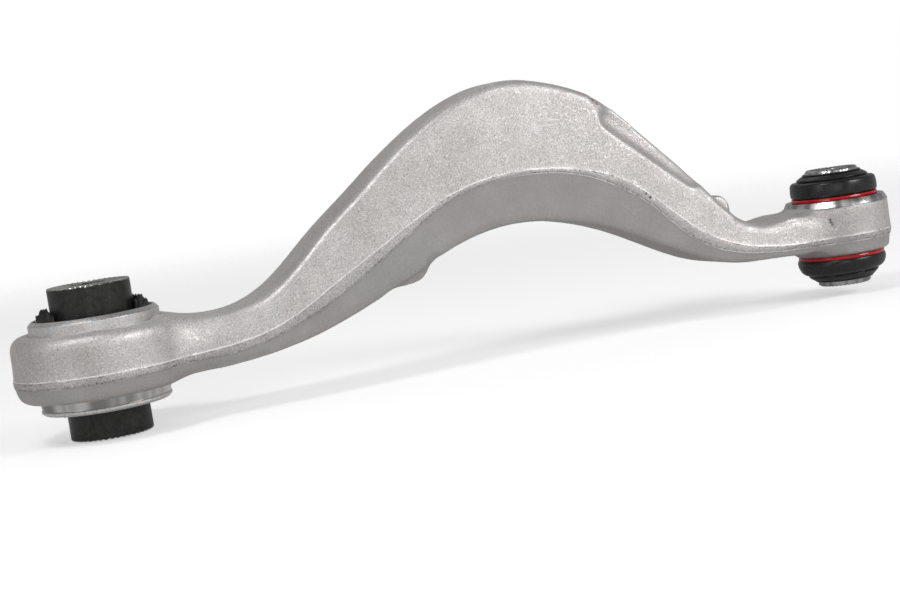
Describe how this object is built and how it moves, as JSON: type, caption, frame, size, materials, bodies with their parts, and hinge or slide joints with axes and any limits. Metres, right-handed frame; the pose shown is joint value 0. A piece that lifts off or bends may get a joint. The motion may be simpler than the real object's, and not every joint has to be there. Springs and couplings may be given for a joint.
{
  "type": "suspension control arm",
  "caption": "Arched forged control arm with a large rubber bush at one end and a sealed through-bolt ball joint at the other.",
  "frame": {"origin": "centre of the large rubber bush", "axes": "+X towards the ball joint, +Z along both bolt axes, on the side the arch rises to"},
  "size_m": [0.4344, 0.077, 0.1287],
  "materials": {
    "forged_aluminium": "shot-blasted forging",
    "sleeve_metal": "machined",
    "bush_rubber": "moulded, semi-gloss",
    "coated_core": "dark satin coating, bare serrated ends",
    "joint_steel": "ground and plated",
    "ring_steel": "plated pressing",
    "race_plastic": "moulded",
    "boot_rubber": "moulded, semi-gloss",
    "clamp_ring_red": "glossy",
    "collar_plastic": "moulded"
  },
  "bodies": {
    "arm": {"arm_forging": "forged_aluminium", "bush_outer_sleeve": "sleeve_metal", "ball_race_upper": "race_plastic", "ball_race_lower": "race_plastic", "ball_closing_ring": "ring_steel", "upper_boot_clamp_ring": "clamp_ring_red", "lower_boot_clamp_ring": "clamp_ring_red"},
    "bush_rubber": {"bush_rubber": "bush_rubber"},
    "bush_core": {"bush_inner_sleeve": "coated_core"},
    "boots": {"upper_boot": "boot_rubber", "lower_boot": "boot_rubber"},
    "collars": {"upper_seal_collar": "collar_plastic", "lower_seal_collar": "collar_plastic"},
    "joint_sleeve": {"ball_sleeve": "joint_steel"}
  },
  "joints": [
    {"name": "bush_tilt", "type": "hinge", "parent": "arm", "child": "bush_rubber", "pos_m": [0, 0, 0], "axis": [0, 1, 0], "range_deg": [-3, 3], "stiffness_Nm_per_rad": 60, "deforming": ["bush_rubber"]},
    {"name": "bush_torsion", "type": "hinge", "parent": "bush_rubber", "child": "bush_core", "pos_m": [0, 0, 0], "axis": [0, 0, 1], "range_deg": [-20, 20], "stiffness_Nm_per_rad": 40},
    {"name": "ball_tilt_x", "type": "hinge", "parent": "arm", "child": "boots", "pos_m": [0.37, 0, 0], "axis": [1, 0, 0], "range_deg": [-8, 8], "deforming": ["upper_boot", "lower_boot"]},
    {"name": "ball_tilt_y", "type": "hinge", "parent": "boots", "child": "collars", "pos_m": [0.37, 0, 0], "axis": [0, 1, 0], "range_deg": [-8, 8]},
    {"name": "ball_spin", "type": "hinge", "parent": "collars", "child": "joint_sleeve", "pos_m": [0.37, 0, 0], "axis": [0, 0, 1], "continuous": true}
  ]
}
